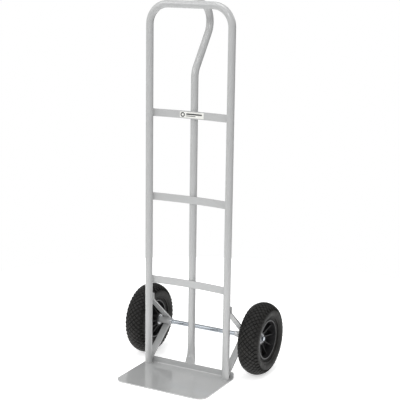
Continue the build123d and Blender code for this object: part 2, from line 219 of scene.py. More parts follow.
def build_grain_group():
    """Fine surface grain: a height, and a slow mottling that shifts colour and roughness."""
    group, entry, leave = new_group(
        "Surface grain",
        [
            ("Vector", "NodeSocketVector", None),
            ("Grain size", "NodeSocketFloat", 0.001),
            ("Mottle size", "NodeSocketFloat", 0.05),
            ("Detail", "NodeSocketFloat", 3.0),
        ],
        [("Height", "NodeSocketFloat"), ("Mottle", "NodeSocketFloat")],
    )
    fine_scale = node_of(group, "ShaderNodeMath", (-650, 120), operation="DIVIDE")
    fine_scale.inputs[0].default_value = 1.0
    group.links.new(entry.outputs["Grain size"], fine_scale.inputs[1])
    fine = node_of(group, "ShaderNodeTexNoise", (-400, 120))
    group.links.new(entry.outputs["Vector"], fine.inputs["Vector"])
    group.links.new(fine_scale.outputs[0], fine.inputs["Scale"])
    group.links.new(entry.outputs["Detail"], fine.inputs["Detail"])
    slow_scale = node_of(group, "ShaderNodeMath", (-650, -160), operation="DIVIDE")
    slow_scale.inputs[0].default_value = 1.0
    group.links.new(entry.outputs["Mottle size"], slow_scale.inputs[1])
    slow = node_of(group, "ShaderNodeTexNoise", (-400, -160), Detail=2.0)
    group.links.new(entry.outputs["Vector"], slow.inputs["Vector"])
    group.links.new(slow_scale.outputs[0], slow.inputs["Scale"])
    spread = node_of(group, "ShaderNodeMapRange", (-150, -160))
    spread.inputs["From Min"].default_value = 0.35
    spread.inputs["From Max"].default_value = 0.65
    group.links.new(slow.outputs["Fac"], spread.inputs["Value"])
    group.links.new(fine.outputs["Fac"], leave.inputs["Height"])
    group.links.new(spread.outputs["Result"], leave.inputs["Mottle"])
    return group


def build_dust_group():
    """Dust mask: strongest near the floor, broken up by noise."""
    group, entry, leave = new_group(
        "Settled dust",
        [
            ("Vector", "NodeSocketVector", None),
            ("Reach", "NodeSocketFloat", 0.2),
            ("Amount", "NodeSocketFloat", 0.3),
        ],
        [("Mask", "NodeSocketFloat")],
    )
    split = node_of(group, "ShaderNodeSeparateXYZ", (-650, 150))
    group.links.new(entry.outputs["Vector"], split.inputs["Vector"])
    low = node_of(group, "ShaderNodeMapRange", (-400, 150))
    low.inputs["To Min"].default_value = 1.0
    low.inputs["To Max"].default_value = 0.0
    group.links.new(split.outputs["Z"], low.inputs["Value"])
    group.links.new(entry.outputs["Reach"], low.inputs["From Max"])
    patches = node_of(group, "ShaderNodeTexNoise", (-400, -120), Scale=38.0, Detail=5.0)
    group.links.new(entry.outputs["Vector"], patches.inputs["Vector"])
    broken = node_of(group, "ShaderNodeMapRange", (-150, -120))
    broken.inputs["From Min"].default_value = 0.42
    broken.inputs["From Max"].default_value = 0.72
    group.links.new(patches.outputs["Fac"], broken.inputs["Value"])
    both = node_of(group, "ShaderNodeMath", (100, 50), operation="MULTIPLY")
    group.links.new(low.outputs["Result"], both.inputs[0])
    group.links.new(broken.outputs["Result"], both.inputs[1])
    amount = node_of(group, "ShaderNodeMath", (350, 50), operation="MULTIPLY")
    group.links.new(both.outputs[0], amount.inputs[0])
    group.links.new(entry.outputs["Amount"], amount.inputs[1])
    group.links.new(amount.outputs[0], leave.inputs["Mask"])
    return group


def shared_group(name, maker):
    """The node group of that name, built the first time it is asked for."""
    return bpy.data.node_groups.get(name) or maker()


# Materials

def new_material(name):
    """Material with an object coordinate node and a Principled shader, and its node tree."""
    material = bpy.data.materials.new(name)
    material.use_nodes = True
    tree = material.node_tree
    shader = tree.nodes["Principled BSDF"]
    place = node_of(tree, "ShaderNodeTexCoord", (-1300, 0))
    return material, tree, shader, place.outputs["Object"]


def add_group(tree, place, name, maker, location, values):
    """Shared node group in a material, placed on object coordinates, with its inputs set."""
    node = tree.nodes.new("ShaderNodeGroup")
    node.node_tree = shared_group(name, maker)
    node.location = location
    for label, value in values.items():
        node.inputs[label].default_value = value
    tree.links.new(place, node.inputs["Vector"])
    return node


def add_grain(tree, place, grain_size, mottle_size, detail=3.0):
    """Surface grain node group."""
    values = {"Grain size": grain_size, "Mottle size": mottle_size, "Detail": detail}
    return add_group(tree, place, "Surface grain", build_grain_group, (-950, 0), values)


def add_dust(tree, place, reach, amount):
    """Settled dust node group."""
    values = {"Reach": reach, "Amount": amount}
    return add_group(tree, place, "Settled dust", build_dust_group, (-950, -300), values)


def mix_colours(tree, mask, first, second, location):
    """Colour that goes from first to second by a mask. Each may be a colour or a socket."""
    mix = node_of(tree, "ShaderNodeMix", location, data_type="RGBA")
    tree.links.new(mask, mix.inputs["Factor"])
    for slot, colour in ((6, first), (7, second)):
        if isinstance(colour, bpy.types.NodeSocket):
            tree.links.new(colour, mix.inputs[slot])
        else:
            mix.inputs[slot].default_value = (*colour, 1.0)
    return mix.outputs[2]


def mix_values(tree, mask, first, second, location):
    """Number that goes from first to second by a mask."""
    spread = node_of(tree, "ShaderNodeMapRange", location)
    spread.inputs["To Min"].default_value = first
    spread.inputs["To Max"].default_value = second
    tree.links.new(mask, spread.inputs["Value"])
    return spread.outputs["Result"]


def mix_values_by(tree, mask, first, second, location):
    """Number that goes from a socket's value to a plain value by a mask."""
    mix = node_of(tree, "ShaderNodeMix", location, data_type="FLOAT")
    tree.links.new(mask, mix.inputs["Factor"])
    tree.links.new(first, mix.inputs[2])
    mix.inputs[3].default_value = second
    return mix.outputs[0]


def add_bump(tree, shader, height, distance, strength=1.0):
    """Bump from a height to the shader's normal."""
    bump = node_of(tree, "ShaderNodeBump", (-250, -300), Strength=strength, Distance=distance)
    tree.links.new(height, bump.inputs["Height"])
    tree.links.new(bump.outputs["Normal"], shader.inputs["Normal"])


def shade(colour, factor):
    """A colour made lighter or darker by a factor."""
    return tuple(min(1.0, channel * factor) for channel in colour)


def powder_coat(name, settings, roughness, coat_weight, coat_roughness, dust_amount):
    """Glossy powder coat: faint orange peel, slow mottling and a little dust near the floor."""
    material, tree, shader, place = new_material(name)
    colour = tuple(settings.coat_colour)
    grain = add_grain(tree, place, settings.orange_peel, 0.07)
    dust = add_dust(tree, place, settings.dust_height, dust_amount)
    darker, lighter = shade(colour, 0.985), shade(colour, 1.015)
    mottled = mix_colours(tree, grain.outputs["Mottle"], darker, lighter, (-600, 100))
    dusty = mix_colours(tree, dust.outputs["Mask"], mottled, DUST_ON_COAT, (-350, 100))
    tree.links.new(dusty, shader.inputs["Base Color"])
    rough = mix_values(tree, grain.outputs["Mottle"], roughness - 0.03, roughness + 0.04, (-600, -120))
    tree.links.new(rough, shader.inputs["Roughness"])
    shader.inputs["Coat Weight"].default_value = coat_weight
    shader.inputs["Coat Roughness"].default_value = coat_roughness
    shader.inputs["Coat IOR"].default_value = 1.5
    add_bump(tree, shader, grain.outputs["Height"], 0.00003, 0.5)
    return material


def zinc_plating(name, colour, roughness, brush_axis):
    """Bright zinc on turned or drawn steel: fine lines across one axis and a faint cloudy tint."""
    material, tree, shader, place = new_material(name)
    grain = add_grain(tree, place, 0.0012, 0.014, 4.0)
    stretch = node_of(tree, "ShaderNodeMapping", (-1150, -500))
    stretch.inputs["Scale"].default_value = tuple(12.0 if axis == brush_axis else 900.0 for axis in "XYZ")
    tree.links.new(place, stretch.inputs["Vector"])
    lines = node_of(tree, "ShaderNodeTexNoise", (-900, -500), Scale=1.0, Detail=3.0)
    tree.links.new(stretch.outputs["Vector"], lines.inputs["Vector"])
    tinted = mix_colours(tree, grain.outputs["Mottle"], colour, shade(colour, 0.95), (-500, 150))
    tree.links.new(tinted, shader.inputs["Base Color"])
    rough = mix_values(tree, lines.outputs["Fac"], roughness * 0.95, roughness * 1.08, (-500, -120))
    tree.links.new(rough, shader.inputs["Roughness"])
    shader.inputs["Metallic"].default_value = 1.0
    add_bump(tree, shader, lines.outputs["Fac"], 0.000001, 0.3)
    return material


def tyre_rubber(name, settings):
    """Charcoal rubber: moulded grain, floor dust in patches, painted shade in the groove at the bead and a
    painted highlight on the ridge just outside it.
    """
    material, tree, shader, place = new_material(name)
    colour = tuple(settings.rubber_colour)
    grain = add_grain(tree, place, 0.0009, 0.018, 6.0)
    uneven = mix_colours(tree, grain.outputs["Mottle"], shade(colour, 0.8), shade(colour, 1.35), (-600, 100))
    dust = add_dust(tree, place, TYRE_RADIUS * 2.4, 0.10)
    dusty = mix_colours(tree, dust.outputs["Mask"], uneven, DUST_ON_RUBBER, (-350, 100))
    distance = axle_distance(tree, place)
    # Painted shade: the rubber is darkened from the bead out to just past the rim's lip, where the groove
    # lies in shade
    shade_edge = RIM_LIP_RADIUS + GROOVE_SHADE_WIDTH
    groove_shade = band_mask(tree, distance, 0.0, shade_edge, (-600, 400))
    # Painted highlight: a paler ring just outside the painted shade, where the bead ridge catches the light
    ridge_highlight = band_mask(tree, distance, shade_edge, shade_edge + RIDGE_HIGHLIGHT_WIDTH, (-600, 800))
    with_ridge_highlight = mix_colours(tree, ridge_highlight, dusty, shade(colour, 2.2), (-200, 200))
    with_groove_shade = mix_colours(tree, groove_shade, with_ridge_highlight, shade(colour, 0.3), (-50, 200))
    tree.links.new(with_groove_shade, shader.inputs["Base Color"])
    rough = mix_values(tree, grain.outputs["Mottle"], 0.50, 0.66, (-600, -120))
    tree.links.new(rough, shader.inputs["Roughness"])
    shader.inputs["Specular IOR Level"].default_value = 0.25
    add_bump(tree, shader, grain.outputs["Height"], 0.00025, 0.6)
    return material


def turned_zinc():
    """Zinc plating of the washers, collars, rivet and split pins."""
    return shared_material("zinc_turned", zinc_plating, ZINC_COLOUR, 0.30, "Y")


def moulded_plastic(name, colour, roughness):
    """Moulded plastic with a spark-eroded grain and a painted highlight on its lip."""
    material, tree, shader, place = new_material(name)
    grain = add_grain(tree, place, 0.0006, 0.02, 4.0)
    uneven = mix_colours(tree, grain.outputs["Mottle"], shade(colour, 0.9), shade(colour, 1.2), (-600, 100))
    # Painted highlight: a paler ring round the rim's lip, where its rounded edge catches the light
    inner, outer = RIM_LIP_RADIUS - LIP_HIGHLIGHT_INWARD, RIM_LIP_RADIUS + LIP_HIGHLIGHT_OUTWARD
    lip = band_mask(tree, axle_distance(tree, place), inner, outer, (-600, 400))
    with_lip_highlight = mix_colours(tree, lip, uneven, shade(colour, 3.0), (-350, 200))
    tree.links.new(with_lip_highlight, shader.inputs["Base Color"])
    rough = mix_values(tree, grain.outputs["Height"], roughness - 0.06, roughness + 0.08, (-600, -120))
    tree.links.new(rough, shader.inputs["Roughness"])
    add_bump(tree, shader, grain.outputs["Height"], 0.00006, 0.5)
    return material


def compare(tree, value, limit, greater, location):
    """One where a value is above (or below) a limit, else zero."""
    node = node_of(tree, "ShaderNodeMath", location, operation="GREATER_THAN" if greater else "LESS_THAN")
    tree.links.new(value, node.inputs[0])
    node.inputs[1].default_value = limit
    return node.outputs[0]


def combine(tree, operation, first, second, location):
    """Math node on two sockets, or on a socket and a number."""
    node = node_of(tree, "ShaderNodeMath", location, operation=operation)
    for slot, value in enumerate((first, second)):
        if isinstance(value, bpy.types.NodeSocket):
            tree.links.new(value, node.inputs[slot])
        else:
            node.inputs[slot].default_value = value
    return node.outputs[0]


def band_mask(tree, value, low, high, location):
    """One where a value lies between two limits."""
    above = compare(tree, value, low, True, location)
    below = compare(tree, value, high, False, (location[0], location[1] - 160))
    return combine(tree, "MULTIPLY", above, below, (location[0] + 180, location[1]))


def flat_distance(tree, first, second, location):
    """Distance from the origin of a plane, by the two coordinates in it."""
    x, y = location
    squares = combine(
        tree, "ADD",
        combine(tree, "MULTIPLY", first, first, (x, y + 80)),
        combine(tree, "MULTIPLY", second, second, (x, y - 80)),
        (x + 120, y),
    )
    return combine(tree, "POWER", squares, 0.5, (x + 240, y))


def axle_distance(tree, place):
    """Distance of a point from the axle's middle line."""
    split = node_of(tree, "ShaderNodeSeparateXYZ", (-1150, 500))
    tree.links.new(place, split.inputs["Vector"])
    along = combine(tree, "SUBTRACT", split.outputs["Y"], AXLE_Y, (-1000, 560))
    up = combine(tree, "SUBTRACT", split.outputs["Z"], AXLE_Z, (-1000, 400))
    return flat_distance(tree, along, up, (-860, 480))


# The printed mark, in half heights of the label: across from the left end for the ring and the start of
# the bars, across from the right end for where each bar stops, and up from the middle
RING_PLACE = 1.1
RING_INNER, RING_OUTER = 0.45, 0.82
BARS_START = 2.4
LONG_BAR_STOP, LONG_BAR_TOP = 0.7, 0.5
SHORT_BAR_STOP, SHORT_BAR_BOTTOM, SHORT_BAR_TOP = 3.2, -0.5, -0.25


def printed_label(name):
    """Pale film with a plain printed mark: a ring at one end and two bars beside it."""
    material, tree, shader, place = new_material(name)
    middle_z = (LABEL_LOW.z + LABEL_HIGH.z) / 2
    half = (LABEL_HIGH.z - LABEL_LOW.z) / 2
    split = node_of(tree, "ShaderNodeSeparateXYZ", (-1150, 0))
    tree.links.new(place, split.inputs["Vector"])
    across = split.outputs["X"]
    up = combine(tree, "SUBTRACT", split.outputs["Z"], middle_z, (-980, -100))
    ring_x = LABEL_LOW.x + half * RING_PLACE
    shifted = combine(tree, "SUBTRACT", across, ring_x, (-980, 120))
    distance = flat_distance(tree, shifted, up, (-800, 80))
    ring = band_mask(tree, distance, half * RING_INNER, half * RING_OUTER, (-340, 260))
    start = LABEL_LOW.x + half * BARS_START
    long_bar = combine(
        tree, "MULTIPLY",
        band_mask(tree, across, start, LABEL_HIGH.x - half * LONG_BAR_STOP, (-800, -300)),
        band_mask(tree, up, 0.0, half * LONG_BAR_TOP, (-800, -620)),
        (-340, -300),
    )
    short_bar = combine(
        tree, "MULTIPLY",
        band_mask(tree, across, start, LABEL_HIGH.x - half * SHORT_BAR_STOP, (-800, -940)),
        band_mask(tree, up, half * SHORT_BAR_BOTTOM, half * SHORT_BAR_TOP, (-800, -1260)),
        (-340, -600),
    )
    ink = combine(tree, "MAXIMUM", combine(tree, "MAXIMUM", ring, long_bar, (-150, 100)), short_bar, (0, 0))
    grain = add_grain(tree, place, 0.0006, 0.02)
    film = mix_colours(tree, grain.outputs["Mottle"], LABEL_DARKER, LABEL_LIGHTER, (-150, -200))
    printed = mix_colours(tree, ink, film, INK_COLOUR, (160, 100))
    tree.links.new(printed, shader.inputs["Base Color"])
    shader.inputs["Roughness"].default_value = 0.38
    add_bump(tree, shader, grain.outputs["Height"], 0.00002, 0.4)
    shader.location = (420, 0)
    return material


def floor_finish(settings):
    """Pale matt floor with a very faint mottling."""
    material, tree, shader, place = new_material("studio_floor")
    colour = tuple(settings.floor_colour)
    grain = add_grain(tree, place, 0.01, 0.9)
    soft = mix_colours(tree, grain.outputs["Mottle"], shade(colour, 0.99), colour, (-500, 100))
    tree.links.new(soft, shader.inputs["Base Color"])
    shader.inputs["Roughness"].default_value = 0.9
    shader.inputs["Specular IOR Level"].default_value = 0.1
    shader.inputs["Emission Color"].default_value = (1.0, 1.0, 1.0, 1.0)
    shader.inputs["Emission Strength"].default_value = settings.floor_glow
    return material


def shared_material(name, maker, *values):
    """The material of that name, built the first time it is asked for."""
    return bpy.data.materials.get(name) or maker(name, *values)


def finish_nodes(names, material):
    """Puts a material in every slot of the named frame nodes."""
    for name in names:
        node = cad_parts[name]
        if not node.material_slots:
            node.data.materials.append(material)
        for slot in node.material_slots:
            slot.material = material


# Mesh building

def mesh_piece(name, mesh_maker, material, smooth_angle=math.radians(35)):
    """Object from a function that fills a bmesh, smooth shaded except across sharp edges."""
    shell = bmesh.new()
    mesh_maker(shell)
    bmesh.ops.recalc_face_normals(shell, faces=shell.faces)
    mesh = bpy.data.meshes.new(name)
    shell.to_mesh(mesh)
    shell.free()
    mesh.materials.append(material)
    mesh.shade_smooth()
    mesh.set_sharp_from_angle(angle=smooth_angle)
    piece = bpy.data.objects.new(name, mesh)
    bpy.context.scene.collection.objects.link(piece)
    return piece


def add_revolved(shell, profile, segments, wheel_x):
    """Closed profile of (across, radius) points turned round the axle."""
    rings = []
    for number in range(segments):
        turn = 2 * math.pi * number / segments
        rings.append([
            shell.verts.new((
                wheel_x + across,
                AXLE_Y + radius * math.cos(turn),
                AXLE_Z + radius * math.sin(turn),
            ))
            for across, radius in profile
        ])
    for number, ring in enumerate(rings):
        following = rings[(number + 1) % segments]
        for place in range(len(profile)):
            after = (place + 1) % len(profile)
            shell.faces.new((ring[place], ring[after], following[after], following[place]))


def add_tube(shell, path, radii, sides=8, closed=False):
    """Round tube along a path of points, with one radius for each point."""
    loops = []
    count = len(path)
    guide = Vector((0.31, 0.77, 0.55)).normalized()
    for number, point in enumerate(path):
        before = path[(number - 1) % count] if closed else path[max(number - 1, 0)]
        after = path[(number + 1) % count] if closed else path[min(number + 1, count - 1)]
        along = (after - before).normalized()
        first = along.cross(guide).normalized()
        second = along.cross(first)
        loops.append([
            shell.verts.new(
                point
                + first * radii[number] * math.cos(2 * math.pi * side / sides)
                + second * radii[number] * math.sin(2 * math.pi * side / sides)
            )
            for side in range(sides)
        ])
    pairs = count if closed else count - 1
    for number in range(pairs):
        loop, following = loops[number], loops[(number + 1) % count]
        for side in range(sides):
            after = (side + 1) % sides
            shell.faces.new((loop[side], loop[after], following[after], following[side]))
    if not closed:
        shell.faces.new(loops[0])
        shell.faces.new(list(reversed(loops[-1])))


def add_bead(shell, path, settings, closed=False, size=1.0):
    """Weld bead: a tube whose radius rises and falls in ripples along a path."""
    step = settings.ripple_pitch / 6
    points = []
    for first, second in zip(path, path[1:] + (path[:1] if closed else [])):
        count = max(1, round((second - first).length / step))
        points += [first.lerp(second, part / count) for part in range(count)]
    if not closed:
        points.append(path[-1])
    radii = []
    travelled = 0.0
    for number, point in enumerate(points):
        travelled += (point - points[number - 1]).length if number else 0.0
        wave = abs(math.sin(math.pi * travelled / settings.ripple_pitch))
        taper = 1.0 if closed else min(1.0, 0.45 + 0.25 * min(number, len(points) - 1 - number))
        radii.append(settings.bead_radius * size * (0.84 + 0.2 * wave) * taper)
    add_tube(shell, points, radii, closed=closed)
    for vertex in shell.verts:
        vertex.co.z = min(vertex.co.z, BOW_HIGH.z)


# Tyres

CARCASS_SEGMENTS = 152
OUTLINE_STEPS = 72

# Where the tyre sits on its rim, and how far its shoulder lies below the middle of the tread
LIP_WIDTH_AND_GAP = 4.3 * MM
LIP_HEIGHT = 2 * MM
BEAD_RISE = 5.4 * MM
CROWN_DROP = 7 * MM

# Columns of blocks on each side of the middle one. The last one is the shoulder: its grooves are deeper
# and its blocks shorter around the tyre. The grooves fade out near the edge of the tread.
TREAD_COLUMNS = 4
SHOULDER_START = 27 * MM
SHOULDER_RUN = 9 * MM
SHOULDER_DEEPER = 0.3
SHOULDER_LENGTH = 0.62
TREAD_FADE_START = 4 * MM
TREAD_FADE_RUN = 5 * MM

# Rings on the sidewall: distance from the bead, half width, and height (a groove if negative)
SIDEWALL_RINGS = (
    (13.5 * MM, 2.0 * MM, -0.9 * MM),
    (9.5 * MM, 2.2 * MM, 1.7 * MM),
    (5.5 * MM, 2.2 * MM, -1.6 * MM),
)

# A tread block's size at its top, bevelled edge and foot, how far the edge lies below the top, and how
# far the foot reaches into the carcass
BLOCK_TOP_SCALE = 0.93
BLOCK_EDGE_SCALE = 1.03
BLOCK_FOOT_SCALE = 1.16
BLOCK_EDGE_SINK = 0.55 * MM
BLOCK_FOOT_SINK = 0.3 * MM
BLOCK_CUTS = 4

BEAD_HALF = RIM_HIGH.x - WHEEL_X - LIP_WIDTH_AND_GAP
BEAD_TOP = RIM_LIP_RADIUS + BEAD_RISE
SEAT_RADIUS = RIM_LIP_RADIUS - LIP_HEIGHT
SHOULDER_RADIUS = TYRE_RADIUS - CROWN_DROP
WIDEST_RADIUS = (BEAD_TOP + SHOULDER_RADIUS) / 2
WALL_RISE = WIDEST_RADIUS - BEAD_TOP
WALL_RADIUS = ((TYRE_HALF - BEAD_HALF) ** 2 + WALL_RISE ** 2) / (2 * (TYRE_HALF - BEAD_HALF))
WALL_CENTRE = TYRE_HALF - WALL_RADIUS
CROWN_RADIUS = (BEAD_HALF ** 2 + CROWN_DROP ** 2) / (2 * CROWN_DROP)
CROWN_ANGLE = math.asin(BEAD_HALF / CROWN_RADIUS)
WALL_ANGLE = math.asin(WALL_RISE / WALL_RADIUS)


def outline_point(travel):
    """Point and outward direction on the tyre's outline, by distance from the middle of the tread."""
    side = math.copysign(1.0, travel)
    reach = abs(travel)
    crown_length = CROWN_RADIUS * CROWN_ANGLE
    if reach <= crown_length:
        turn = reach / CROWN_RADIUS
        outward = Vector((side * math.sin(turn), math.cos(turn)))
        return Vector((0.0, TYRE_RADIUS - CROWN_RADIUS)) + outward * CROWN_RADIUS, outward
    turn = WALL_ANGLE - (reach - crown_length) / WALL_RADIUS
    outward = Vector((side * math.cos(turn), math.sin(turn)))
    return Vector((side * WALL_CENTRE, WIDEST_RADIUS)) + outward * WALL_RADIUS, outward


def share(value, start, run):
    """How far a value has gone through a run that begins at start, held between 0 and 1."""
    return max(0.0, min(1.0, (value - start) / run))


def carcass_profile(settings, tread_half):
    """Tyre section under the tread blocks, from bead to bead, with raised rings on the sidewalls."""
    wall_length = CROWN_RADIUS * CROWN_ANGLE + 2 * WALL_RADIUS * WALL_ANGLE
    profile = []
    for step in range(-OUTLINE_STEPS, OUTLINE_STEPS + 1):
        travel = wall_length * step / OUTLINE_STEPS
        point, outward = outline_point(travel)
        reach = abs(travel)
        deeper = SHOULDER_DEEPER * share(reach, SHOULDER_START, SHOULDER_RUN)
        depth = settings.tread_depth * (1.0 + deeper)
        depth *= 1.0 - share(reach, tread_half - TREAD_FADE_START, TREAD_FADE_RUN)
        for from_bead, half_width, height in SIDEWALL_RINGS:
            rise = max(0.0, 1 - ((reach - wall_length + from_bead) / half_width) ** 2)
            depth -= height * rise
        inner = point - outward * depth
        profile.append((max(-TYRE_HALF, min(TYRE_HALF, inner.x)), inner.y))
    profile += [(BEAD_HALF, SEAT_RADIUS), (-BEAD_HALF, SEAT_RADIUS)]
    return profile


def add_block(shell, travel, turn, half_across, half_around, depth, stretch, wheel_x):
    """One diamond tread block with a bevelled top, sloped sides and a stretched outer tip."""
    def place(across, around, scale, sink):
        if across * travel > 0:
            across *= stretch
        point, outward = outline_point(travel + across * half_across * scale)
        radial = point - outward * sink
        angle = turn + around * half_around * scale / TYRE_RADIUS
        return Vector((
            wheel_x + radial.x,
            AXLE_Y + radial.y * math.cos(angle),
            AXLE_Z + radial.y * math.sin(angle),
        ))

    def vertex(i, j, scale, sink):
        first, second = i / BLOCK_CUTS, j / BLOCK_CUTS
        return shell.verts.new(place(first - second, first + second - 1.0, scale, sink))

    last = BLOCK_CUTS
    grid = [[vertex(i, j, BLOCK_TOP_SCALE, 0.0) for j in range(last + 1)] for i in range(last + 1)]
    for i in range(last):
        for j in range(last):
            shell.faces.new((grid[i][j], grid[i + 1][j], grid[i + 1][j + 1], grid[i][j + 1]))
    border = [(i, 0) for i in range(last)]
    border += [(last, j) for j in range(last)]
    border += [(i, last) for i in range(last, 0, -1)]
    border += [(0, j) for j in range(last, 0, -1)]
    upper = [grid[i][j] for i, j in border]
    for scale, sink in ((BLOCK_EDGE_SCALE, BLOCK_EDGE_SINK), (BLOCK_FOOT_SCALE, depth + BLOCK_FOOT_SINK)):
        lower = [vertex(i, j, scale, sink) for i, j in border]
        for number in range(len(border)):
            after = (number + 1) % len(border)
            shell.faces.new((upper[number], upper[after], lower[after], lower[number]))
        upper = lower


def fill_tyre(shell, settings, wheel_x):
    """Carcass and tread blocks of one tyre."""
    half_across = settings.block_pitch / 2
    pitch_around = 2 * math.pi * TYRE_RADIUS / settings.blocks_around
    half_around = pitch_around / 2
    slant = math.hypot(half_across, half_around)
    shrink = 1 - settings.groove_width * slant / (2 * half_across * half_around)
    tread_half = TREAD_COLUMNS * half_across + half_across * shrink * settings.shoulder_stretch
    add_revolved(shell, carcass_profile(settings, tread_half), CARCASS_SEGMENTS, wheel_x)
    for column in range(-TREAD_COLUMNS, TREAD_COLUMNS + 1):
        shoulder = abs(column) == TREAD_COLUMNS
        for number in range(settings.blocks_around):
            turn = 2 * math.pi * (number + 0.5 * (column % 2)) / settings.blocks_around
            add_block(
                shell,
                column * half_across,
                turn,
                half_across * shrink,
                half_around * shrink * (SHOULDER_LENGTH if shoulder else 1.0),
                settings.tread_depth * (1.0 + SHOULDER_DEEPER if shoulder else 1.0),
                settings.shoulder_stretch if shoulder else 1.0,
                wheel_x,
            )


class HANDTRUCK_OT_tyres(bpy.types.Operator):
    """Build both treaded tyres"""

    bl_idname = "handtruck.tyres"
    bl_label = "Tyres"

    def execute(self, context):
        settings = context.scene.handtruck_tyres
        rubber = shared_material("tread_rubber", tyre_rubber, settings)
        for word, side in SIDES:
            piece = mesh_piece(
                f"{word}_tyre_treaded", lambda shell: fill_tyre(shell, settings, side * WHEEL_X), rubber)
            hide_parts(f"{word}_tyre")
            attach(piece, f"{word}_wheel")
        return {"FINISHED"}


# Coat, plating and plastics on the frame's own nodes

def coat_material(context):
    """Powder coat of the tubes, bars and brackets."""
    settings = context.scene.handtruck_paint
    return shared_material("frame_coat", powder_coat, settings, settings.coat_roughness, *TUBE_TOP_LAYER)


class HANDTRUCK_OT_coat(bpy.types.Operator):
    """Coat the tubes, crossbars, brackets, sleeves and toe plate"""

    bl_idname = "handtruck.coat"
    bl_label = "Powder coat"

    def execute(self, context):
        settings = context.scene.handtruck_paint
        painted = ["top_bow", "handle_tube", "upper_crossbar", "middle_crossbar", "lower_crossbar"]
        for word, _ in SIDES:
            painted += [f"{word}_side_tube", f"{word}_axle_bracket", f"{word}_axle_sleeve"]
        finish_nodes(painted, coat_material(context))
        plate = shared_material("toe_plate_coat", powder_coat, settings, PLATE_ROUGHNESS, *PLATE_TOP_LAYER)
        finish_nodes(["toe_plate"], plate)
        return {"FINISHED"}


class HANDTRUCK_OT_hardware(bpy.types.Operator):
    """Plate the axle, collars, washers and rivet, and finish the bearings"""

    bl_idname = "handtruck.hardware"
    bl_label = "Axle hardware"

    def execute(self, context):
        drawn = shared_material("zinc_rod", zinc_plating, ROD_COLOUR, 0.22, "X")
        turned = turned_zinc()
        ground = shared_material("ground_steel", zinc_plating, BEARING_COLOUR, 0.28, "X")
        finish_nodes(["axle"], drawn)
        finish_nodes(["foot_rivet"], turned)
        for word, _ in SIDES:
            finish_nodes([f"{word}_axle_collar", f"{word}_inner_washer", f"{word}_outer_washer"], turned)
            finish_nodes([f"{word}_bearing_spacer"], ground)
            for place in ("inboard", "outboard"):
                finish_nodes(
                    [f"{word}_{place}_bearing_{piece}" for piece in ("outer_ring", "inner_ring", "balls")],
                    ground,
                )
        return {"FINISHED"}


class HANDTRUCK_OT_rims(bpy.types.Operator):
    """Finish both moulded rims"""

    bl_idname = "handtruck.rims"
    bl_label = "Rims"

    def execute(self, context):
        plastic = shared_material("rim_moulding", moulded_plastic, RIM_COLOUR, 0.42)
        finish_nodes([f"{word}_rim" for word, _ in SIDES], plastic)
        return {"FINISHED"}


class HANDTRUCK_OT_label(bpy.types.Operator):
    """Print the plain mark on the label plate"""

    bl_idname = "handtruck.label"
    bl_label = "Label"

    def execute(self, context):
        finish_nodes(["label_plate"], shared_material("label_print", printed_label))
        return {"FINISHED"}


# Split pins

PIN_EYE_RADIUS = 3 * MM
PIN_SPREAD = 3.9 * MM


class HANDTRUCK_OT_split_pins(bpy.types.Operator):
    """Bend the two wire split pins through the axle ends"""

    bl_idname = "handtruck.split_pins"
    bl_label = "Split pins"

    def execute(self, context):
        turned = turned_zinc()
        pin_x = (PIN_LOW.x + PIN_HIGH.x) / 2
        wire = (PIN_HIGH.x - PIN_LOW.x) / 4
        for word, side in SIDES:
            middle = Vector((side * pin_x, AXLE_Y, AXLE_Z))
            path = []
            bottom = PIN_LOW.z - AXLE_Z + wire
            top = PIN_HIGH.z - AXLE_Z - wire
            half = [(PIN_SPREAD, bottom), (PIN_SPREAD * 0.75, bottom * 0.86), (wire, -AXLE_RADIUS - wire)]
            half += [(wire, 0.0), (wire, AXLE_RADIUS + wire)]
            for across, up in half:
                path.append(middle + Vector((0, across, up)))
            for across, up in arc_points((0.0, top - PIN_EYE_RADIUS), PIN_EYE_RADIUS, -55, 235, 14):
                path.append(middle + Vector((0, across, up)))
            for across, up in reversed(half):
                path.append(middle + Vector((0, -across, up)))
            piece = mesh_piece(
                f"{word}_split_pin_wire",
                lambda shell: add_tube(shell, path, [wire * 0.98] * len(path), sides=12),
                turned,
            )
            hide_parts(f"{word}_split_pin")
            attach(piece, "frame")
        return {"FINISHED"}


# Weld beads

def ring_path(centre, radius, start, end, steps, level=0.0):
    """Level ring of points round a centre, from one angle to another in degrees."""
    return [
        Vector((centre.x + across, centre.y + along, centre.z + level))
        for across, along in arc_points((0.0, 0.0), radius, start, end, steps)
    ]


BAR_END_MARGIN = 1.5 * MM
MIDDLE_BEAD_MARGIN = 2 * MM
MIDDLE_BEAD_PLACE = 5 * MM
TAB_HALF_WIDTH = 6 * MM
SLEEVE_BEAD_SHIFT = 6.5 * MM
SLEEVE_BEAD_SINK = 1.2 * MM
HANDLE_BEAD_ANGLE = 78


def fill_foot_beads(shell, settings):
    """Rings where the side tubes stand on the toe plate."""
    for _, side in SIDES:
        centre = Vector((side * SIDE_X, FRAME_Y, PLATE_TOP))
        path = ring_path(centre, TUBE_RADIUS + 0.7 * MM, 0, 360, 48, 0.4 * MM)[:-1]
        add_bead(shell, path, settings, closed=True, size=1.15)


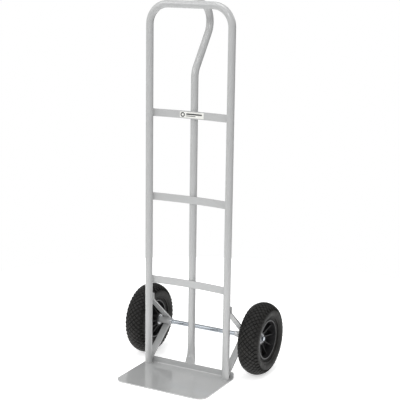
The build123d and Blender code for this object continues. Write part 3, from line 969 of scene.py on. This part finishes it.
def fill_crossbar_beads(shell, settings):
    """Upright beads where each crossbar meets the side tubes, front and back."""
    front = UPPER_LOW.y - FRAME_Y
    for name in ("lower_crossbar", "middle_crossbar", "upper_crossbar"):
        low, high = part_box(name)
        for setback in (front, front + CROSSBAR_THICKNESS):
            reach = SIDE_X - math.sqrt(TUBE_RADIUS ** 2 - setback ** 2)
            for _, side in SIDES:
                top = Vector((side * reach, FRAME_Y + setback, high.z - BAR_END_MARGIN))
                bottom = Vector((side * reach, FRAME_Y + setback, low.z + BAR_END_MARGIN))
                add_bead(shell, [bottom, top], settings, size=0.75)
        for across in (-MIDDLE_BEAD_PLACE, MIDDLE_BEAD_PLACE):
            back = high.y + 0.6 * MM
            levels = (low.z + MIDDLE_BEAD_MARGIN, high.z - MIDDLE_BEAD_MARGIN)
            path = [Vector((across, back, level)) for level in levels]
            add_bead(shell, path, settings, size=0.7)


def fill_bracket_beads(shell, settings):
    """Beads at each bracket's tab, at its foot and along its sleeve."""
    strip_half = (BRACKET_HIGH.x - BRACKET_LOW.x) / 2
    slope = (AXLE_Z - SLEEVE_RADIUS - BRACKET_LOW.z) / (AXLE_Y - FRAME_Y)
    for _, side in SIDES:
        tab = Vector((side * SIDE_X, FRAME_Y + TUBE_RADIUS + 0.8 * MM, BRACKET_HIGH.z))
        reach = Vector((TAB_HALF_WIDTH, 0, 0))
        add_bead(shell, [tab - reach, tab + reach], settings)
        path = []
        for step in range(13):
            across = strip_half * 0.92 * (step / 6 - 1)
            behind = math.sqrt(TUBE_RADIUS ** 2 - across ** 2)
            level = BRACKET_LOW.z + slope * behind + STRIP_THICKNESS * 1.5
            path.append(Vector((side * SIDE_X + across, FRAME_Y + behind + 0.4 * MM, level)))
        add_bead(shell, path, settings)
        for up in (1, -1):
            along = Vector((0, -math.cos(STRIP_SLANT), math.sin(STRIP_SLANT) * up))
            normal = Vector((0, math.sin(STRIP_SLANT), math.cos(STRIP_SLANT) * up))
            touch = Vector((side * SIDE_X, AXLE_Y, AXLE_Z)) + normal * SLEEVE_RADIUS
            spot = touch + along * SLEEVE_BEAD_SHIFT - normal * SLEEVE_BEAD_SINK
            reach = Vector((strip_half * 0.9, 0, 0))
            add_bead(shell, [spot - reach, spot + reach], settings, size=0.95)


def fill_handle_beads(shell, settings):
    """Beads where the handle tube meets the top of the hoop and the toe plate's upstand."""
    for side in (-1, 1):
        path = []
        for step in range(17):
            turn = math.radians(HANDLE_BEAD_ANGLE * (step / 8 - 1))
            across = TUBE_RADIUS * math.cos(turn)
            path.append(Vector((
                side * across,
                FRAME_Y + across + 0.3 * MM,
                BOW_LEVEL + (TUBE_RADIUS - 1.2 * MM) * math.sin(turn),
            )))
        add_bead(shell, path, settings, size=0.85)
    foot_half = (HANDLE_HIGH.x - HANDLE_LOW.x) / 2 - 2 * MM
    lap = Vector((0, TOE_HIGH.y - 0.6 * MM, TOE_HIGH.z - 0.4 * MM))
    reach = Vector((foot_half, 0, 0))
    add_bead(shell, [lap - reach, lap + reach], settings, size=0.8)


class HANDTRUCK_OT_welds(bpy.types.Operator):
    """Lay the weld beads on the joints of the frame"""

    bl_idname = "handtruck.welds"
    bl_label = "Weld beads"

    def execute(self, context):
        settings = context.scene.handtruck_welds
        coat = coat_material(context)
        for name, filler in (
            ("tube_foot_welds", fill_foot_beads),
            ("crossbar_welds", fill_crossbar_beads),
            ("bracket_welds", fill_bracket_beads),
            ("handle_welds", fill_handle_beads),
        ):
            piece = mesh_piece(name, lambda shell: filler(shell, settings), coat, math.radians(80))
            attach(piece, "frame")
        return {"FINISHED"}


# Studio

CAMERA_PLACE = Vector((1.7779, -3.2374, 1.4426))
CAMERA_HEADING = math.radians(28.349)
CAMERA_DIP = math.radians(12.532)
CAMERA_ROLL = math.radians(0.792)
BACK_DIRECTION = (0.28, 0.95, -0.12)
FLOOR_RADIUS = 1.5
FLOOR_GAP = 0.4 * MM


def camera_matrix():
    """Camera's place and turn: heading from the truck's front, dip below level, and a slight roll."""
    forward = Vector((
        -math.sin(CAMERA_HEADING) * math.cos(CAMERA_DIP),
        math.cos(CAMERA_HEADING) * math.cos(CAMERA_DIP),
        -math.sin(CAMERA_DIP),
    ))
    right = forward.cross(Vector((0, 0, 1))).normalized()
    up = right.cross(forward)
    rolled_right = right * math.cos(CAMERA_ROLL) + up * math.sin(CAMERA_ROLL)
    rolled_up = up * math.cos(CAMERA_ROLL) - right * math.sin(CAMERA_ROLL)
    turn = Matrix((rolled_right, rolled_up, -forward)).transposed().to_4x4()
    return Matrix.Translation(CAMERA_PLACE) @ turn


def add_area_light(name, place, aim, size, power):
    """Rectangular soft light, of a width and height, that looks at a point."""
    data = bpy.data.lights.new(name, "AREA")
    data.shape = "RECTANGLE"
    data.size, data.size_y = size
    data.energy = power
    light = bpy.data.objects.new(name, data)
    bpy.context.scene.collection.objects.link(light)
    light.location = place
    light.rotation_euler = (Vector(aim) - Vector(place)).to_track_quat("-Z", "Y").to_euler()


def light_surroundings(tree, settings):
    """Surroundings that are bright in front and above, dim behind, and plain white to the camera."""
    surround = tree.nodes["Background"]
    surround.inputs["Color"].default_value = (1.0, 1.0, 1.0, 1.0)
    place = node_of(tree, "ShaderNodeTexCoord", (-900, 0))
    facing = node_of(tree, "ShaderNodeVectorMath", (-700, 0), operation="DOT_PRODUCT")
    facing.inputs[1].default_value = Vector(BACK_DIRECTION).normalized()
    tree.links.new(place.outputs["Generated"], facing.inputs[0])
    spread = node_of(tree, "ShaderNodeMapRange", (-500, 0), interpolation_type="SMOOTHSTEP")
    spread.inputs["From Min"].default_value = 0.4
    spread.inputs["From Max"].default_value = 0.9
    spread.inputs["To Min"].default_value = settings.front_strength
    spread.inputs["To Max"].default_value = settings.back_strength
    tree.links.new(facing.outputs["Value"], spread.inputs["Value"])
    path = node_of(tree, "ShaderNodeLightPath", (-500, 300))
    chosen = mix_values_by(tree, path.outputs["Is Camera Ray"], spread.outputs["Result"], 1.0, (-250, 100))
    tree.links.new(chosen, surround.inputs["Strength"])


class HANDTRUCK_OT_studio(bpy.types.Operator):
    """Set up the floor, the lights and the camera"""

    bl_idname = "handtruck.studio"
    bl_label = "Studio"

    def execute(self, context):
        settings = context.scene.handtruck_studio
        scene = context.scene
        scene.view_settings.view_transform = "Standard"
        world = bpy.data.worlds.new("studio_surroundings")
        scene.world = world
        world.use_nodes = True
        light_surroundings(world.node_tree, settings)

        def fill_floor(shell):
            bmesh.ops.create_circle(shell, cap_ends=True, segments=96, radius=FLOOR_RADIUS)

        floor = mesh_piece("studio_floor", fill_floor, floor_finish(settings))
        floor.location.z = -FLOOR_GAP
        key = settings.key_power
        add_area_light("key_light", (-2.4, -2.6, 3.0), (0, 0, 0.6), (2.2, 2.2), key)
        add_area_light("lamp", (0.9, -3.2, 2.5), (0, 0, 0.5), (0.4, 0.4), settings.lamp_power)
        add_area_light("top_light", (0.1, -0.4, 3.6), (0, -0.1, 0), (1.6, 1.6), key * 0.9)
        add_area_light("back_light", (1.5, 3.0, 2.6), (0, 0, 0.5), (2.0, 1.6), key * 0.45)
        camera_data = bpy.data.cameras.new("camera")
        camera_data.lens = settings.lens
        camera_data.clip_end = 60.0
        camera = bpy.data.objects.new("camera", camera_data)
        scene.collection.objects.link(camera)
        camera.matrix_world = camera_matrix()
        scene.camera = camera
        return {"FINISHED"}


class HANDTRUCK_PT_panel(bpy.types.Panel):
    """Lists the steps that finish the hand truck"""

    bl_idname = "HANDTRUCK_PT_panel"
    bl_label = "Hand truck"
    bl_space_type = "VIEW_3D"
    bl_region_type = "UI"
    bl_category = "Hand truck"

    def draw(self, context):
        scene = context.scene
        for group in ("handtruck_paint", "handtruck_tyres", "handtruck_welds", "handtruck_studio"):
            settings = getattr(scene, group)
            box = self.layout.box()
            for name in settings.__annotations__:
                box.prop(settings, name)
        for step in STEPS:
            self.layout.operator(step.bl_idname)


STEPS = (
    HANDTRUCK_OT_studio,
    HANDTRUCK_OT_coat,
    HANDTRUCK_OT_hardware,
    HANDTRUCK_OT_rims,
    HANDTRUCK_OT_tyres,
    HANDTRUCK_OT_label,
    HANDTRUCK_OT_split_pins,
    HANDTRUCK_OT_welds,
)
GROUPS = (
    ("handtruck_paint", HandTruckPaint),
    ("handtruck_tyres", HandTruckTyres),
    ("handtruck_welds", HandTruckWelds),
    ("handtruck_studio", HandTruckStudio),
)


def register():
    for name, group in GROUPS:
        bpy.utils.register_class(group)
        setattr(bpy.types.Scene, name, bpy.props.PointerProperty(type=group))
    for step in STEPS:
        bpy.utils.register_class(step)
    bpy.utils.register_class(HANDTRUCK_PT_panel)


def unregister():
    bpy.utils.unregister_class(HANDTRUCK_PT_panel)
    for step in reversed(STEPS):
        bpy.utils.unregister_class(step)
    for name, group in reversed(GROUPS):
        delattr(bpy.types.Scene, name)
        bpy.utils.unregister_class(group)


def main():
    register()
    bpy.ops.handtruck.studio()
    bpy.ops.handtruck.coat()
    bpy.ops.handtruck.hardware()
    bpy.ops.handtruck.rims()
    bpy.ops.handtruck.tyres()
    bpy.ops.handtruck.label()
    bpy.ops.handtruck.split_pins()
    bpy.ops.handtruck.welds()


if __name__ == "__main__":
    main()
